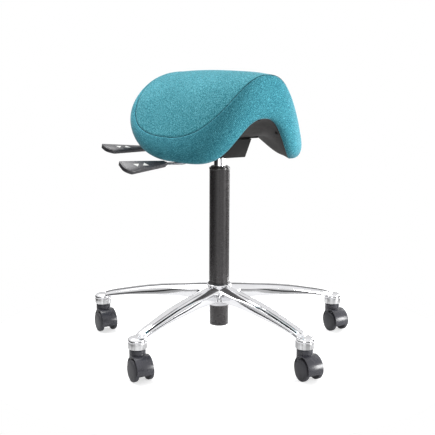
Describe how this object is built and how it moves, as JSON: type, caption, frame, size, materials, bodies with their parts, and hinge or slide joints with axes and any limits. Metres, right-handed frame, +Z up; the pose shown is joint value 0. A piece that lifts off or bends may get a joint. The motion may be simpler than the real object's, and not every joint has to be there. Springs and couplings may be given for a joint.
{
  "type": "saddle stool",
  "caption": "Height-adjustable saddle stool with an upholstered saddle seat, tilting mechanism with side levers, gas lift column and polished star base on twin-wheel casters",
  "frame": {"origin": "on the floor at the point under the column's axis, which the base, the gas lift and the swivel share", "axes": "+Z points up, -Y points to the front of the saddle, and the levers stand out towards -X"},
  "size_m": [0.6516, 0.6686, 0.6815],
  "materials": {
    "fabric_top": "fine woven upholstery, pale teal",
    "fabric_side": "fine woven upholstery, deep teal",
    "foam": "moulded foam, hidden under the cover",
    "shell_plastic": "moulded, matt",
    "black_plastic": "satin moulded plastic",
    "black_steel": "satin black powder coat",
    "steel": "plain machined steel",
    "chrome": "bright chrome",
    "polished_aluminium": "mirror polished casting",
    "rubber": "matt",
    "caster_plastic": "smooth moulded nylon"
  },
  "bodies": {
    "base": {"star_base": "polished_aluminium", "hub_ring": "black_plastic", "column_tube": "black_steel", "guide_bush": "black_plastic"},
    "gas_rod": {"piston_rod": "steel", "thrust_bearing": "steel", "bump_stop": "rubber", "retaining_clip": "steel"},
    "lift_stage": {"pressure_tube": "chrome", "lift_socket": "steel", "tilt_quadrant": "steel"},
    "valve": {"valve_button": "steel"},
    "seat": {"cover_top_panel": "fabric_top", "cover_side_band": "fabric_side", "foam_pad": "foam", "seat_shell": "shell_plastic", "seat_plate": "black_steel", "seat_bolt_1": "steel", "seat_bolt_2": "steel", "seat_bolt_3": "steel", "seat_bolt_4": "steel", "mechanism_pan": "black_steel", "pivot_pin_left": "steel", "pivot_pin_right": "steel"},
    "lift_lever": {"lift_lever_rod": "steel", "lift_lever_paddle": "black_plastic", "lift_finger": "steel"},
    "tilt_lever": {"tilt_lever_rod": "steel", "tilt_lever_paddle": "black_plastic", "tilt_pawl": "steel"},
    "caster_1": {"caster_1_housing": "caster_plastic", "caster_1_stem": "steel", "caster_1_axle": "steel"},
    "caster_1_wheel_left": {"caster_1_wheel_left": "caster_plastic"},
    "caster_1_wheel_right": {"caster_1_wheel_right": "caster_plastic"},
    "caster_2": {"caster_2_housing": "caster_plastic", "caster_2_stem": "steel", "caster_2_axle": "steel"},
    "caster_2_wheel_left": {"caster_2_wheel_left": "caster_plastic"},
    "caster_2_wheel_right": {"caster_2_wheel_right": "caster_plastic"},
    "caster_3": {"caster_3_housing": "caster_plastic", "caster_3_stem": "steel", "caster_3_axle": "steel"},
    "caster_3_wheel_left": {"caster_3_wheel_left": "caster_plastic"},
    "caster_3_wheel_right": {"caster_3_wheel_right": "caster_plastic"},
    "caster_4": {"caster_4_housing": "caster_plastic", "caster_4_stem": "steel", "caster_4_axle": "steel"},
    "caster_4_wheel_left": {"caster_4_wheel_left": "caster_plastic"},
    "caster_4_wheel_right": {"caster_4_wheel_right": "caster_plastic"},
    "caster_5": {"caster_5_housing": "caster_plastic", "caster_5_stem": "steel", "caster_5_axle": "steel"},
    "caster_5_wheel_left": {"caster_5_wheel_left": "caster_plastic"},
    "caster_5_wheel_right": {"caster_5_wheel_right": "caster_plastic"}
  },
  "joints": [
    {"name": "swivel", "type": "hinge", "parent": "base", "child": "gas_rod", "pos_m": [0, 0, 0.06], "axis": [0, 0, 1], "continuous": true},
    {"name": "seat_height", "type": "slide", "parent": "gas_rod", "child": "lift_stage", "axis": [0, 0, 1], "range_m": [0, 0.22]},
    {"name": "seat_tilt", "type": "hinge", "parent": "lift_stage", "child": "seat", "pos_m": [0, 0, 0.4905], "axis": [1, 0, 0], "range_deg": [-4, 10]},
    {"name": "lift_lever", "type": "hinge", "parent": "seat", "child": "lift_lever", "pos_m": [0, -0.027, 0.5105], "axis": [-1, 0, 0], "range_deg": [0, 8], "stiffness_Nm_per_rad": 0.5},
    {"name": "valve_press", "type": "slide", "parent": "lift_stage", "child": "valve", "axis": [0, 0, -1], "range_m": [0, 0.0038]},
    {"name": "tilt_lever", "type": "hinge", "parent": "seat", "child": "tilt_lever", "pos_m": [0, 0.08, 0.4905], "axis": [-1, 0, 0], "range_deg": [0, 15]},
    {"name": "caster_1_swivel", "type": "hinge", "parent": "base", "child": "caster_1", "pos_m": [0.14776, 0.28384, 0.06], "axis": [0, 0, 1], "continuous": true},
    {"name": "caster_1_roll_left", "type": "hinge", "parent": "caster_1", "child": "caster_1_wheel_left", "pos_m": [0.14776, 0.26684, 0.025], "axis": [1, 0, 0], "continuous": true},
    {"name": "caster_1_roll_right", "type": "hinge", "parent": "caster_1", "child": "caster_1_wheel_right", "pos_m": [0.14776, 0.26684, 0.025], "axis": [1, 0, 0], "continuous": true},
    {"name": "caster_2_swivel", "type": "hinge", "parent": "base", "child": "caster_2", "pos_m": [-0.22429, 0.22824, 0.06], "axis": [0, 0, 1], "continuous": true},
    {"name": "caster_2_roll_left", "type": "hinge", "parent": "caster_2", "child": "caster_2_wheel_left", "pos_m": [-0.22429, 0.21124, 0.025], "axis": [1, 0, 0], "continuous": true},
    {"name": "caster_2_roll_right", "type": "hinge", "parent": "caster_2", "child": "caster_2_wheel_right", "pos_m": [-0.22429, 0.21124, 0.025], "axis": [1, 0, 0], "continuous": true},
    {"name": "caster_3_swivel", "type": "hinge", "parent": "base", "child": "caster_3", "pos_m": [-0.28638, -0.14278, 0.06], "axis": [0, 0, 1], "continuous": true},
    {"name": "caster_3_roll_left", "type": "hinge", "parent": "caster_3", "child": "caster_3_wheel_left", "pos_m": [-0.28638, -0.15978, 0.025], "axis": [1, 0, 0], "continuous": true},
    {"name": "caster_3_roll_right", "type": "hinge", "parent": "caster_3", "child": "caster_3_wheel_right", "pos_m": [-0.28638, -0.15978, 0.025], "axis": [1, 0, 0], "continuous": true},
    {"name": "caster_4_swivel", "type": "hinge", "parent": "base", "child": "caster_4", "pos_m": [0.0473, -0.31649, 0.06], "axis": [0, 0, 1], "continuous": true},
    {"name": "caster_4_roll_left", "type": "hinge", "parent": "caster_4", "child": "caster_4_wheel_left", "pos_m": [0.0473, -0.33349, 0.025], "axis": [1, 0, 0], "continuous": true},
    {"name": "caster_4_roll_right", "type": "hinge", "parent": "caster_4", "child": "caster_4_wheel_right", "pos_m": [0.0473, -0.33349, 0.025], "axis": [1, 0, 0], "continuous": true},
    {"name": "caster_5_swivel", "type": "hinge", "parent": "base", "child": "caster_5", "pos_m": [0.31561, -0.05282, 0.06], "axis": [0, 0, 1], "continuous": true},
    {"name": "caster_5_roll_left", "type": "hinge", "parent": "caster_5", "child": "caster_5_wheel_left", "pos_m": [0.31561, -0.06982, 0.025], "axis": [1, 0, 0], "continuous": true},
    {"name": "caster_5_roll_right", "type": "hinge", "parent": "caster_5", "child": "caster_5_wheel_right", "pos_m": [0.31561, -0.06982, 0.025], "axis": [1, 0, 0], "continuous": true}
  ],
  "couplings": [
    {"joint": "valve_press", "follows": "lift_lever", "m_per_rad": 0.027}
  ]
}
